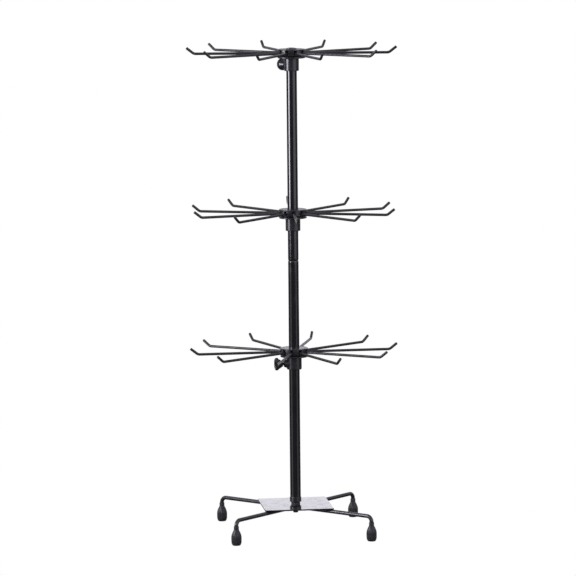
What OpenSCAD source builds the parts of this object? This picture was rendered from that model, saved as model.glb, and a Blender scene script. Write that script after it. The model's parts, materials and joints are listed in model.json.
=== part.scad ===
// Three-tier rotating wire display rack for a counter.
// Origin: on the floor, on the pole's axis. +Z is up, and the base plate's edges lie along X and Y.

/* [Pole] */
// Outside diameter of both pole tubes
pole_d = 16; // [12:0.5:24]
// Wall of the pole tubes
tube_wall = 1.5; // [1.2:0.1:2.5]
// Length of the lower tube
lower_tube_len = 360; // [250:1:500]
// Length of the upper tube
upper_tube_len = 318; // [200:1:450]
// How far the rolled tube ends turn in where the two tubes meet
rolled_depth = 1.1; // [0.5:0.1:1.1]
// Height of each rolled tube end
rolled_height = 2.4; // [1:0.1:4]
// Length of the joiner inside the two tubes
joiner_len = 80; // [40:1:120]
// Wall of the joiner
joiner_wall = 1.6; // [1:0.1:3]
// Height of the cap's dome over the top of the pole
cap_dome = 1.2; // [1:0.1:5]

/* [Base] */
// Side of the square base plate
plate_w = 104; // [70:1:160]
// Thickness of the base plate
plate_t = 2; // [1.5:0.1:5]
// Radius of the base plate's corners
plate_corner_r = 3; // [1:0.5:10]
// Height of the base plate's underside over the floor
deck_h = 40; // [32:1:80]
// Diameter of the leg rods
leg_d = 6; // [4:0.5:8]
// Distance between the centres of neighbouring feet
foot_span = 203; // [150:1:300]
// Bend radius at a leg's knee, on the rod's axis
knee_r = 8; // [5:0.5:14]
// Height of a rubber foot
foot_h = 28.5; // [24:0.5:29]
// Straight neck at the top of a rubber foot
foot_neck_len = 5; // [1:0.5:8]
// Largest diameter of a rubber foot
foot_d = 15.4; // [13:0.1:24]
// Diameter of a rubber foot's sole
foot_sole_d = 11; // [9:0.1:20]
// Rubber around the rod in the neck of a foot
foot_neck_wall = 0.8; // [0.6:0.1:3]

/* [Spindle] */
// Diameter of the threaded stud that the pole turns on
spindle_d = 8; // [6:0.5:9]
// Height of the stud's top over the base plate
spindle_rise = 84; // [60:1:150]
// Height of the lock nut under the plate
nut_h = 6.5; // [4:0.1:10]
// Height of the thin jam nut on top of the plate
jam_nut_h = 2.4; // [2:0.1:6]
// Thickness of the nylon washer that the pole rides on
thrust_washer_t = 0.8; // [0.5:0.1:2]
// Height of the visible flange under the lower tube
bush_flange_h = 7.6; // [3:0.1:14]
// How far the bush's flange stands out past the tube
bush_flange_lip = 0.7; // [0.3:0.1:2]

/* [Tiers] */
// Height of the middle tier's hook wires over the floor
middle_tier_h = 484; // [440:1:560]
// Height of the bottom tier's hook wires over the floor
bottom_tier_h = 274; // [220:1:330]
// Depth of the top tier's hook wires below the top of the pole
top_tier_drop = 6.5; // [6:0.5:60]
// Angle of the first hook on each tier, top tier first
wheel_turns = [-8, 14, 0.8];
// Direction that each clamp screw points in, top tier first
clamp_turns = [112, 83, 184];

/* [Hooks] */
// Hooks on each tier
hook_count = 10; // [6:1:12]
// Diameter of the hook wire
wire_d = 4; // [3:0.1:4.5]
// Distance from the pole's axis to the tip of a hook
hook_reach = 157; // [100:1:220]
// Length of the turned-up tip, measured from the corner
tip_len = 14.5; // [10:0.5:30]
// Angle of the turned-up tip over level
tip_angle = 38; // [20:1:60]
// Bend radius at a hook's tip, on the wire's axis
tip_bend_r = 8; // [5:0.5:14]

/* [Wheels and collars] */
// Depth of the slotted wheel from its bore to its rim
wheel_depth = 12.85; // [11:0.05:25]
// Height of the wheel's teeth over the axis of the hook wires
tooth_rise = 4.5; // [2.5:0.1:10]
// Thickness of the wheel's floor under the hook wires
wheel_floor = 2.4; // [2:0.1:6]
// Thickness of the cover over the hook wires
cover_t = 1.5; // [1:0.1:4]
// Thickness of the collar's flange
flange_t = 2.3; // [1.5:0.1:5]
// Length of the collar's sleeve below its flange
sleeve_len = 19; // [17:0.5:30]
// Wall of the collar's sleeve
sleeve_wall = 3.1; // [2.5:0.05:6]
// How far the screw boss stands out of the sleeve
boss_reach = 4.5; // [3:0.1:10]
// Diameter of the clamp screw
screw_d = 5; // [4:0.5:6]
// Height of the clamp screw's axis over the sleeve's lower end
clamp_rise = 8.5; // [8.5:0.1:12]
// Diameter of the clamp knob
knob_d = 19; // [14:0.5:20]
// Thickness of the clamp knob's grip
knob_grip_t = 5; // [4:0.5:12]
// Length of the clamp knob's tapered neck
knob_neck_len = 6.5; // [4:0.5:12]

/* [Clearances] */
// Between the pole and the bores of the wheels and collars
pole_clear = 0.1; // [0.05:0.01:0.3]
// Between the spindle and the bushes that turn on it
spin_clear = 0.08; // [0.03:0.01:0.1]
// Between pieces that are fixed one inside the other
fixed_clear = 0.05; // [0.02:0.01:0.1]
// Between a hook wire and its slot
slot_clear = 0.15; // [0.05:0.01:0.5]

/* [Hidden] */
$fn = 48;
cut = 0.01;                                   // overshoot of a cutter past the face it cuts
bend_thinning = 0.02;                         // loss of radius where a rod is bent
bend_lap = 1;                                 // degrees that a bend runs into the straight rod

// Base levels
plate_top = deck_h + plate_t;
leg_z = deck_h - leg_d / 2;
foot_r = foot_span / sqrt(2);                 // pole axis to a foot, along the diagonal
foot_floor = 4;                               // rubber under the end of the rod
foot_top = min(foot_h, leg_z - knee_r);       // the rubber ends below the rod's bend
foot_flare_h = foot_top - foot_neck_len;
foot_waist = foot_flare_h / 2;                // height of the foot's largest diameter
washer_t = 1.6;
nut_af = spindle_d + 5;                       // across the flats of both spindle nuts
washer_d = nut_af + 3;
stud_below = 3.3;                             // thread that shows below the lock nut
stud_bottom = deck_h - washer_t - nut_h - stud_below;
stud_top = plate_top + spindle_rise;
leg_start = washer_d / 2 + 4;                 // the rods stop short of the lock nut
weld_len = 26;
weld_start = leg_start + 6;

// Pole levels
pole_r = pole_d / 2;
tube_bore_r = pole_r - tube_wall;
plug_r = tube_bore_r - fixed_clear;           // outside of all that sits inside the tubes
bush_bottom = plate_top + jam_nut_h + thrust_washer_t;
tube_bottom = bush_bottom + bush_flange_h;
seam_z = tube_bottom + lower_tube_len;
pole_top = seam_z + upper_tube_len;
bush_plug_len = 20;
top_bush_len = 15;
top_bush_z = stud_top - top_bush_len - 3;
cap_stem_len = 12;
cap_lip = 0.6;

// Tier sizes, with the hook wires' axes at height 0
bore_r = pole_r + pole_clear;
wheel_r = bore_r + wheel_depth;
slot_w = wire_d + 2 * slot_clear;
hub_wall = 4.25;                              // wheel between its bore and the slots
seat_r = bore_r + hub_wall + slot_w / 2;      // pole axis to a hook's inner leg
inner_bend_r = 0.8 * wire_d;
wheel_bottom = -wire_d / 2 - slot_clear - wheel_floor;
rim_chamfer = 1.8;
bearing_ring_t = 0.6;
bearing_ring_w = 3.5;
cover_bore_gap = 0.3;                         // the cover's bore is this much wider than the wheel's
flange_top = wheel_bottom - bearing_ring_t;
flange_bottom = flange_top - flange_t;
sleeve_bottom = flange_bottom - sleeve_len;
sleeve_r = bore_r + sleeve_wall;
peg_d = 2.4;
peg_len = 5;
peg_r = (seat_r + wheel_r) / 2;               // pole axis to a peg of the cover

// Clamp sizes, measured out from the pole's axis
clamp_z = sleeve_bottom + clamp_rise;
screw_tip = pole_r + 0.05;                    // the tip all but touches the pole
boss_end = sleeve_r + boss_reach;
boss_tip_d = screw_d + 4.2;
boss_start = bore_r - 1;                      // the boss tapers from inside the sleeve's wall
boss_root_d = 2 * min(sqrt(sleeve_r * sleeve_r - boss_start * boss_start), clamp_rise) - 0.6;
insert_wall = 1.2;
insert_start = bore_r + 1;
insert_end = boss_end - 1.2;                  // the boss closes over the insert's outer end
knob_start = boss_end + 2.2;                  // thread shows between the boss and the knob
knob_end = knob_start + knob_neck_len + knob_grip_t;
knob_floor = 2;

TIERS = ["top", "middle", "bottom"];
tier_z = [pole_top - top_tier_drop, middle_tier_h, bottom_tier_h];

CORNERS = [["front_left", 225], ["front_right", 315], ["rear_left", 135], ["rear_right", 45]];

BLACK_COAT = [0.06, 0.06, 0.07];
BLACK_PLASTIC = [0.09, 0.09, 0.10];
BLACK_RUBBER = [0.12, 0.12, 0.13];
BLACK_STEEL = [0.05, 0.05, 0.05];
ZINC = [0.70, 0.70, 0.68];
BRASS = [0.78, 0.63, 0.32];
BLACK_NYLON = [0.08, 0.08, 0.08];

// ---- Shapes that repeat ----

// Ring or tube along Z, from z0 to z1
module ring(outer_r, inner_r, z0, z1) {
  translate([0, 0, z0]) difference() {
    cylinder(r = outer_r, h = z1 - z0);
    translate([0, 0, -cut]) cylinder(r = inner_r, h = z1 - z0 + 2 * cut);
  }
}

// Hexagon nut with a plain bore, from z0 upwards
module hex_nut(af, bore_d, h, z0) {
  translate([0, 0, z0]) difference() {
    cylinder(d = af / cos(30), h = h, $fn = 6);
    translate([0, 0, -cut]) cylinder(d = bore_d, h = h + 2 * cut);
  }
}

// Bend of a round rod in the XZ plane, its centre at [x, z]. A rod thins by a hair where it is bent,
// so the bend's ends sit inside the straight runs on both sides of it.
module rod_bend(x, z, bend_r, rod_r, from, sweep) {
  translate([x, 0, z]) rotate([90, 0, 0]) rotate([0, 0, from - bend_lap])
    rotate_extrude(angle = sweep + 2 * bend_lap, $fn = 64)
      translate([bend_r, 0]) circle(r = rod_r - bend_thinning, $fn = 32);
}

// Straight round rod in the XZ plane from [x, z], at an angle over level
module rod_run(x, z, angle, len, rod_r) {
  translate([x, 0, z]) rotate([0, 90 - angle, 0]) cylinder(r = rod_r, h = len, $fn = 32);
}

// ---- Base ----

module base_plate() {
  flat_w = plate_w - 2 * plate_corner_r;
  color(BLACK_COAT) translate([0, 0, deck_h]) difference() {
    union() {
      translate([-plate_w / 2, -flat_w / 2, 0]) cube([plate_w, flat_w, plate_t]);
      translate([-flat_w / 2, -plate_w / 2, 0]) cube([flat_w, plate_w, plate_t]);
      for (x = [-1, 1], y = [-1, 1])
        translate([x * flat_w / 2, y * flat_w / 2, 0]) cylinder(r = plate_corner_r, h = plate_t);
    }
    translate([0, 0, -cut]) cylinder(d = spindle_d + 2 * fixed_clear, h = plate_t + 2 * cut);
  }
}

// One rod: along the plate's diagonal, over the knee and down into its foot
module leg(turn) {
  run = foot_r - knee_r - leg_start;
  drop = leg_z - knee_r - foot_floor;
  color(BLACK_COAT) rotate([0, 0, turn]) union() {
    rod_run(leg_start, leg_z, 0, run, leg_d / 2);
    rod_bend(foot_r - knee_r, leg_z - knee_r, knee_r, leg_d / 2, 0, 90);
    translate([foot_r, 0, foot_floor]) cylinder(d = leg_d, h = drop, $fn = 32);
  }
}

// Fillet welds along both sides of each rod, against the plate's underside
module leg_welds() {
  bead = [[0.15, 0], [0.68, 0], [0.5, -0.3], [0.15, -0.2]];
  color(BLACK_COAT) for (corner = CORNERS, side = [0, 1])
    rotate([0, 0, corner[1]]) mirror([0, side, 0])
      translate([weld_start, 0, deck_h]) rotate([90, 0, 90])
        linear_extrude(height = weld_len) difference() {
          polygon(leg_d * bead);
          translate([0, -leg_d / 2]) circle(d = leg_d, $fn = 32);
        }
}

// Radius of a foot at height z: a rounded sole, a belly and a shoulder that rises to the neck
function foot_radius(z) =
  let (neck_r = leg_d / 2 + foot_neck_wall, sole_r = foot_sole_d / 2, belly_r = foot_d / 2)
  z < foot_waist
    ? belly_r - (belly_r - sole_r) * pow(1 - z / foot_waist, 5)
    : neck_r + (belly_r - neck_r) * cos(90 * (z - foot_waist) / (foot_flare_h - foot_waist));

module foot(turn) {
  steps = 8;
  sole_side = [for (i = [0:steps]) let (z = foot_waist * pow(i / steps, 1.6)) [foot_radius(z), z]];
  shoulder = [for (i = [1:steps])
    let (z = foot_waist + (foot_flare_h - foot_waist) * i / steps) [foot_radius(z), z]];
  neck = [[foot_radius(foot_flare_h), foot_top], [0, foot_top]];
  color(BLACK_RUBBER) rotate([0, 0, turn]) translate([foot_r, 0, 0]) difference() {
    rotate_extrude() polygon(concat([[0, 0]], sole_side, shoulder, neck));
    translate([0, 0, foot_floor]) cylinder(d = leg_d + 2 * fixed_clear, h = foot_top);
  }
}

module spindle_stud() {
  color(BLACK_STEEL) translate([0, 0, stud_bottom]) cylinder(d = spindle_d, h = stud_top - stud_bottom);
}

module spindle_washer() {
  color(BLACK_STEEL) ring(washer_d / 2, spindle_d / 2 + spin_clear, deck_h - washer_t, deck_h);
}

module spindle_nut() {
  color(BLACK_STEEL) hex_nut(nut_af, spindle_d + 2 * fixed_clear, nut_h, deck_h - washer_t - nut_h);
}

module spindle_jam_nut() {
  color(BLACK_STEEL) hex_nut(nut_af, spindle_d + 2 * fixed_clear, jam_nut_h, plate_top);
}

module thrust_washer() {
  color(BLACK_NYLON) ring(nut_af / 2, spindle_d / 2 + spin_clear, plate_top + jam_nut_h, bush_bottom);
}

// ---- Pole ----

// Tube from z = 0 upwards, with its upper end rolled in
module rolled_tube(len) {
  steps = 6;
  roll = [for (i = [0:steps])
    [pole_r - rolled_depth * (1 - cos(90 * i / steps)), len - rolled_height * (1 - sin(90 * i / steps))]];
  color(BLACK_COAT) rotate_extrude(convexity = 4)
    polygon(concat([[tube_bore_r, 0], [pole_r, 0]], roll, [[tube_bore_r, len]]));
}

module lower_tube() {
  translate([0, 0, tube_bottom]) rolled_tube(lower_tube_len);
}

module upper_tube() {
  translate([0, 0, pole_top]) mirror([0, 0, 1]) rolled_tube(upper_tube_len);
}

module tube_joiner() {
  color(ZINC) ring(plug_r, plug_r - joiner_wall, seam_z - joiner_len / 2, seam_z + joiner_len / 2);
}

// Flanged bush that closes the foot of the pole and turns on the spindle
module pole_foot_bush() {
  spin_r = spindle_d / 2 + spin_clear;
  color(BLACK_PLASTIC) difference() {
    union() {
      translate([0, 0, bush_bottom]) cylinder(r = pole_r + bush_flange_lip, h = bush_flange_h);
      translate([0, 0, bush_bottom]) cylinder(r = plug_r, h = bush_flange_h + bush_plug_len);
    }
    translate([0, 0, bush_bottom - cut]) cylinder(r = spin_r, h = bush_flange_h + bush_plug_len + 2 * cut);
  }
}

module spindle_top_bush() {
  color(BLACK_PLASTIC) ring(plug_r, spindle_d / 2 + spin_clear, top_bush_z, top_bush_z + top_bush_len);
}

// Plug with a shallow domed head
module pole_cap() {
  dome_r = (pole_r * pole_r + cap_dome * cap_dome) / (2 * cap_dome);
  color(BLACK_PLASTIC) translate([0, 0, pole_top]) union() {
    translate([0, 0, -cap_stem_len]) cylinder(r = plug_r, h = cap_stem_len + cut);
    cylinder(r = pole_r, h = cap_lip);
    translate([0, 0, cap_lip]) intersection() {
      translate([0, 0, cap_dome - dome_r]) sphere(r = dome_r, $fn = 96);
      cylinder(r = pole_r, h = cap_dome + 1);
    }
  }
}

// ---- Tiers: each piece is drawn with the hook wires' axes at height 0 ----

// Flange that carries the wheel, over a sleeve with a tapered boss for the clamp screw. The brass insert
// is moulded into the boss.
module collar() {
  color(BLACK_PLASTIC) difference() {
    union() {
      translate([0, 0, flange_bottom]) cylinder(r = wheel_r, h = flange_t);
      translate([0, 0, sleeve_bottom]) cylinder(r = sleeve_r, h = sleeve_len + cut);
      translate([boss_start, 0, clamp_z]) rotate([0, 90, 0])
        cylinder(d1 = boss_root_d, d2 = boss_tip_d, h = boss_end - boss_start);
    }
    translate([0, 0, sleeve_bottom - cut]) cylinder(r = bore_r, h = sleeve_len + flange_t + 2 * cut);
    translate([insert_start, 0, clamp_z]) rotate([0, 90, 0])
      cylinder(r = screw_d / 2 + insert_wall + fixed_clear, h = insert_end - insert_start);
    translate([0, 0, clamp_z]) rotate([0, 90, 0])
      cylinder(d = screw_d + 2 * spin_clear, h = boss_end + cut);
  }
}

module insert() {
  color(BRASS) translate([insert_start, 0, clamp_z]) rotate([0, 90, 0])
    ring(screw_d / 2 + insert_wall, screw_d / 2 + fixed_clear, 0, insert_end - insert_start);
}

module clamp_screw() {
  color(BLACK_STEEL) translate([screw_tip, 0, clamp_z]) rotate([0, 90, 0])
    cylinder(d = screw_d, h = knob_end - knob_floor - screw_tip);
}

// Round grip on a tapered neck
module clamp_knob() {
  edge = 1;
  grip_z = knob_neck_len;
  grip_r = knob_d / 2;
  grip_end = grip_z + knob_grip_t;
  neck_r = screw_d / 2 + 1.5;
  color(BLACK_PLASTIC) translate([knob_start, 0, clamp_z]) rotate([0, 90, 0]) difference() {
    rotate_extrude() polygon([
      [0, 0], [neck_r, 0], [grip_r - 1.5, grip_z], [grip_r, grip_z + edge],
      [grip_r, grip_end - edge], [grip_r - edge, grip_end], [0, grip_end]
    ]);
    translate([0, 0, -cut])
      cylinder(d = screw_d + 2 * fixed_clear, h = grip_end - knob_floor + cut);
  }
}

// Slotted wheel that holds the hooks and turns on the collar's flange
module wheel() {
  step = 360 / hook_count;
  height = tooth_rise - wheel_bottom;
  color(BLACK_PLASTIC) difference() {
    union() {
      translate([0, 0, wheel_bottom]) cylinder(r1 = wheel_r - rim_chamfer, r2 = wheel_r, h = rim_chamfer);
      translate([0, 0, wheel_bottom + rim_chamfer]) cylinder(r = wheel_r, h = height - rim_chamfer);
      translate([0, 0, flange_top]) cylinder(r = bore_r + bearing_ring_w, h = bearing_ring_t + cut);
    }
    translate([0, 0, flange_top - cut]) cylinder(r = bore_r, h = height + bearing_ring_t + 2 * cut);
    for (i = [0:hook_count - 1]) rotate([0, 0, i * step]) {
      translate([seat_r, -slot_w / 2, -slot_w / 2]) cube([wheel_r, slot_w, tooth_rise + slot_w]);
      translate([seat_r, 0, wheel_bottom - cut]) cylinder(d = slot_w, h = height + 2 * cut, $fn = 32);
      translate([seat_r, -slot_w / 2, wheel_bottom - cut]) cube([inner_bend_r, slot_w, height]);
    }
    for (i = [0:2:hook_count - 1]) rotate([0, 0, (i + 0.5) * step])
      translate([peg_r, 0, tooth_rise - peg_len - 0.3])
        cylinder(d = peg_d + 2 * fixed_clear, h = peg_len + 1, $fn = 32);
  }
}

// Disc that holds the hooks down, on pegs pressed into every second tooth of the wheel
module wheel_cover() {
  step = 360 / hook_count;
  color(BLACK_PLASTIC) union() {
    ring(wheel_r, bore_r + cover_bore_gap, tooth_rise, tooth_rise + cover_t);
    for (i = [0:2:hook_count - 1]) rotate([0, 0, (i + 0.5) * step])
      translate([peg_r, 0, tooth_rise - peg_len]) cylinder(d = peg_d, h = peg_len + cut, $fn = 32);
  }
}

// One wire: a short leg down into the wheel, a level arm and a turned-up tip
module hook() {
  rod_r = wire_d / 2;
  leg_end = wheel_bottom + 0.2;
  corner_r = hook_reach - tip_len * cos(tip_angle);
  tangent = tip_bend_r * tan(tip_angle / 2);
  arm_start = seat_r + inner_bend_r;
  arm_end = corner_r - tangent;
  tip_x = corner_r + tangent * cos(tip_angle);
  tip_z = tangent * sin(tip_angle);
  union() {
    translate([seat_r, 0, leg_end]) cylinder(r = rod_r, h = -inner_bend_r - leg_end, $fn = 32);
    rod_bend(arm_start, -inner_bend_r, inner_bend_r, rod_r, 90, 90);
    rod_run(arm_start, 0, 0, arm_end - arm_start, rod_r);
    rod_bend(arm_end, tip_bend_r, tip_bend_r, rod_r, 270, tip_angle);
    rod_run(tip_x, tip_z, tip_angle, tip_len - tangent, rod_r);
  }
}

module hooks() {
  color(BLACK_COAT) for (i = [0:hook_count - 1]) rotate([0, 0, i * 360 / hook_count]) hook();
}

// ---- Assembly ----

base_plate();
for (corner = CORNERS) {
  leg(corner[1]);
  foot(corner[1]);
}
leg_welds();
spindle_stud();
spindle_washer();
spindle_nut();
spindle_jam_nut();
thrust_washer();
lower_tube();
upper_tube();
tube_joiner();
pole_foot_bush();
spindle_top_bush();
pole_cap();
for (t = [0:2]) translate([0, 0, tier_z[t]]) {
  rotate([0, 0, clamp_turns[t]]) {
    collar();
    insert();
    clamp_screw();
    clamp_knob();
  }
  rotate([0, 0, wheel_turns[t]]) {
    wheel();
    wheel_cover();
    hooks();
  }
}
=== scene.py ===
import json
import math

import bmesh
import bpy
import numpy as np
from mathutils import Matrix, Vector


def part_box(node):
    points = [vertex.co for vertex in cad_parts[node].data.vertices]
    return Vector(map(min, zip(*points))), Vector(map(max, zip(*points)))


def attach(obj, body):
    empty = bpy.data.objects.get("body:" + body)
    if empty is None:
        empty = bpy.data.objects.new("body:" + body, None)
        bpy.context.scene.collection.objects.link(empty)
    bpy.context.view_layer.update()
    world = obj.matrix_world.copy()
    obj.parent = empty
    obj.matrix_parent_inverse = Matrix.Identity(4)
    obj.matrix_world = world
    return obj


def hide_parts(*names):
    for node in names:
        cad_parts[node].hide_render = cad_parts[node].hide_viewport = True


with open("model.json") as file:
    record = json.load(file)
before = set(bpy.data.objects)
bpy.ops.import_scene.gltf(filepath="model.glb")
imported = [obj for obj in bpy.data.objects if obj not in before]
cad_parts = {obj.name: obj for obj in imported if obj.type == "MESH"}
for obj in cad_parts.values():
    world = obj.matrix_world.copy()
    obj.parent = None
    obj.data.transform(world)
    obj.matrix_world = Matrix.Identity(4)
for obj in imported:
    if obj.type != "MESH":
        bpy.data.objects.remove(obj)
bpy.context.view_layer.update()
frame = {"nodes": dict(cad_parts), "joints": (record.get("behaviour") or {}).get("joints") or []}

# Looks of a three-tier rotating counter display rack: gloss black coated steel, moulded hubs and knobs,
# rubber feet. Lengths below are in millimetres, and become metres where a piece's mesh is made.
MM = 0.001
TAU = 2 * math.pi
QUARTER = math.pi / 2
TIERS = ("top", "middle", "bottom")
CORNERS = {"front_left": 225, "front_right": 315, "rear_left": 135, "rear_right": 45}


def span(node):
    """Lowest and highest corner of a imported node, in millimetres."""
    low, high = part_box(node)
    return np.array(low) / MM, np.array(high) / MM


# ---- Surfaces ----


def grid(rings, closed=False):
    """Vertices and quads of a stack of closed rings of points: each ring is joined to the next, and when
    closed the last ring is joined to the first."""
    count, sides = rings.shape[:2]
    i, j = np.meshgrid(np.arange(count if closed else count - 1), np.arange(sides), indexing="ij")
    i2, j2 = (i + 1) % count, (j + 1) % sides
    quads = np.stack([i * sides + j, i2 * sides + j, i2 * sides + j2, i * sides + j2], -1)
    return rings.reshape(-1, 3), quads.reshape(-1, 4)


def rounded(corners, closed=True, steps=5):
    """Outline through corners (x, y, radius): each corner becomes an arc tangent to both of its sides, with
    one more point a little way along each side so that shading turns only at the arc."""
    beyond = 1.25
    pts = np.array(corners, float)
    out = []
    for k, (x, y, r) in enumerate(pts):
        p = np.array([x, y])
        if r == 0 or (not closed and k in (0, len(pts) - 1)):
            out.append(p[None])
            continue
        a = pts[k - 1, :2] - p
        b = pts[(k + 1) % len(pts), :2] - p
        a, b = a / np.linalg.norm(a), b / np.linalg.norm(b)
        half = math.acos(np.clip(a @ b, -1, 1)) / 2
        reach = r / math.tan(half)
        centre = p + (a + b) / np.linalg.norm(a + b) * r / math.sin(half)
        start, end = p + a * reach - centre, p + b * reach - centre
        t0 = math.atan2(start[1], start[0])
        turn = (math.atan2(end[1], end[0]) - t0 + math.pi) % TAU - math.pi
        t = t0 + turn * np.linspace(0, 1, steps + 1)
        arc = centre + r * np.stack([np.cos(t), np.sin(t)], 1)
        out += [(p + a * reach * beyond)[None], arc, (p + b * reach * beyond)[None]]
    return np.concatenate(out)


def turned(profile, sides, closed=False, ripple=None):
    """Surface of revolution about Z: each profile point (r, z) goes once round the axis. A closed profile
    makes a ring. ripple(angle, r, z) adds to the radius, for flutes and scallops."""
    profile = np.asarray(profile, float)
    angle = np.arange(sides) * TAU / sides
    r = np.repeat(profile[:, :1], sides, 1)
    z = np.repeat(profile[:, 1:2], sides, 1)
    if ripple is not None:
        r = np.maximum(r + ripple(angle[None], r, z), 0)
    return grid(np.stack([r * np.cos(angle), r * np.sin(angle), z], -1), closed)


def turned_ring(bore, rim, low_z, high_z, bore_soft, rim_soft, sides=64, steps=5):
    """Plain ring about Z: a rectangle between bore and rim, its corners rounded, turned once round."""
    outline = [(bore, low_z, bore_soft), (rim, low_z, rim_soft),
               (rim, high_z, rim_soft), (bore, high_z, bore_soft)]
    return turned(rounded(outline, steps=steps), sides, True)


def rod(path, radius, sides, round_start, round_end):
    """Round rod along a path of (x, z) points in the XZ plane: a circle of the rod's radius, square to the
    path at every point. Each end draws in over a quarter ellipse as deep as its rounding, by a share of the
    radius, and closes flat."""
    draw_in = 0.35
    path = np.asarray(path, float)
    ahead = np.gradient(path, axis=0)
    ahead[0], ahead[-1] = path[1] - path[0], path[-1] - path[-2]
    ahead /= np.linalg.norm(ahead, axis=1)[:, None]
    girth = np.full(len(path), float(radius))
    q = np.linspace(0, QUARTER, 6)[:-1]
    ring = np.concatenate([radius * (1 - draw_in * (1 - np.cos(q))), [0.0]])
    for end, depth in ((0, round_start), (-1, round_end)):
        way = -ahead[end] if end == 0 else ahead[end]
        tip = path[end] - way * depth
        cap = tip + way * depth * np.sin(q)[:, None]
        cap = np.concatenate([cap, (tip + way * depth)[None]])
        aim = np.repeat(ahead[end][None], len(cap), 0)
        if end == 0:
            path = np.concatenate([cap[::-1], path[1:]])
            girth = np.concatenate([ring[::-1], girth[1:]])
            ahead = np.concatenate([aim, ahead[1:]])
        else:
            path = np.concatenate([path[:-1], cap])
            girth = np.concatenate([girth[:-1], ring])
            ahead = np.concatenate([ahead[:-1], aim])
    angle = np.arange(sides) * TAU / sides
    across = girth[:, None] * np.cos(angle)
    x = path[:, :1] - ahead[:, 1:] * across
    z = path[:, 1:] + ahead[:, :1] * across
    y = girth[:, None] * np.sin(angle) + 0 * x
    return grid(np.stack([x, y, z], -1))


def bent_path(runs):
    """Path of straight runs and bends, from (x, z, heading) onwards: ("run", length) goes straight, and
    ("bend", radius, turn in degrees) goes round an arc, upwards when the turn is positive."""
    run_step, bend_step = 8, 7
    (x, z, heading), *moves = runs
    p, h = np.array([x, z], float), math.radians(heading)
    out = [p[None]]
    for move in moves:
        if move[0] == "run":
            s = np.linspace(0, move[1], max(2, int(move[1] / run_step) + 2))[1:, None]
            out.append(p + s * np.array([math.cos(h), math.sin(h)]))
        else:
            turn = math.radians(move[2])
            side = math.copysign(1, turn)
            centre = p + side * move[1] * np.array([-math.sin(h), math.cos(h)])
            t = h + turn * np.linspace(0, 1, max(5, int(abs(move[2]) / bend_step) + 2))[1:]
            out.append(centre - side * move[1] * np.stack([-np.sin(t), np.cos(t)], 1))
            h += turn
        p = out[-1][-1]
    return np.concatenate(out)


def thread(radius, pitch, depth, z0, z1, sides):
    """Screw thread about Z: the radius falls by the thread's depth along a triangle wave of z / pitch less
    the angle's share of a turn, cut flat at crest and root, and is held down by a 45 degree chamfer at both
    ends."""
    rows_per_turn, steepness, crest, root = 8, 1.25, 0.1, 1.1
    z = np.linspace(z0, z1, int((z1 - z0) / pitch * rows_per_turn))[:, None]
    angle = np.arange(sides) * TAU / sides
    wave = np.abs(((z / pitch - angle / TAU) % 1) * 2 - 1)
    wave = np.clip(wave * steepness - crest, 0, 1)
    r = radius - depth * wave
    chamfer = radius - depth + np.minimum(z - z0, z1 - z)
    r = np.minimum(r, np.maximum(chamfer, radius - depth * root))
    r = np.concatenate([np.zeros((1, sides)), r, np.zeros((1, sides))])
    z = np.concatenate([z[:1], z, z[-1:]]) + 0 * r
    return grid(np.stack([r * np.cos(angle), r * np.sin(angle), z], -1))


def hex_nut(across_flats, bore_r, z0, height, chamfered):
    """Hexagon nut: at each angle the side stands at the hexagon's distance, with its corners eased, and a 30
    degree cone takes the corners off the chamfered ends (low, high). The bore has a small countersink."""
    sides, sink, eased, cone, plain_edge = 96, 0.6, 1.13, 0.97, 0.15
    land, land_edge, break_r, break_z = 0.8, 0.965, 0.12, 0.92
    angle = (np.arange(sides) + 0.5) * TAU / sides
    flat = across_flats / 2
    hexagon = flat / np.cos((angle + math.pi / 6) % (math.pi / 3) - math.pi / 6)
    hexagon = np.minimum(hexagon, flat * eased)
    drop = (hexagon - flat * cone) * math.tan(math.radians(30))
    low, high = (np.where(end, drop, plain_edge) for end in chamfered)
    one = np.ones(sides)
    rows = [(bore_r * one, sink * one),
            (bore_r * one, (height - sink) * one),
            ((bore_r + sink) * one, height * one),
            (flat * land * one, height * one),
            (flat * land_edge * one, height * one),
            (hexagon - break_r, height - high * break_z),
            (hexagon, height - high - plain_edge),
            (hexagon, height / 2 * one),
            (hexagon, low + plain_edge),
            (hexagon - break_r, low * break_z),
            (flat * land_edge * one, 0 * one),
            (flat * land * one, 0 * one),
            ((bore_r + sink) * one, 0 * one)]
    r = np.stack([a for a, _ in rows])
    z = np.stack([b for _, b in rows]) + z0
    return grid(np.stack([r * np.cos(angle), r * np.sin(angle), z], -1), closed=True)


def moved(shell, turn=0.0, shift=(0, 0, 0), lay=False):
    """The same surface, first laid so that its Z points along X if lay is true, then turned about Z by an
    angle in degrees and shifted."""
    points, quads = shell
    if lay:
        points = np.stack([points[:, 2], points[:, 1], -points[:, 0]], 1)
    a = math.radians(turn)
    x = points[:, 0] * math.cos(a) - points[:, 1] * math.sin(a)
    y = points[:, 0] * math.sin(a) + points[:, 1] * math.cos(a)
    return np.stack([x, y, points[:, 2]], 1) + np.array(shift, float), quads


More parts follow.
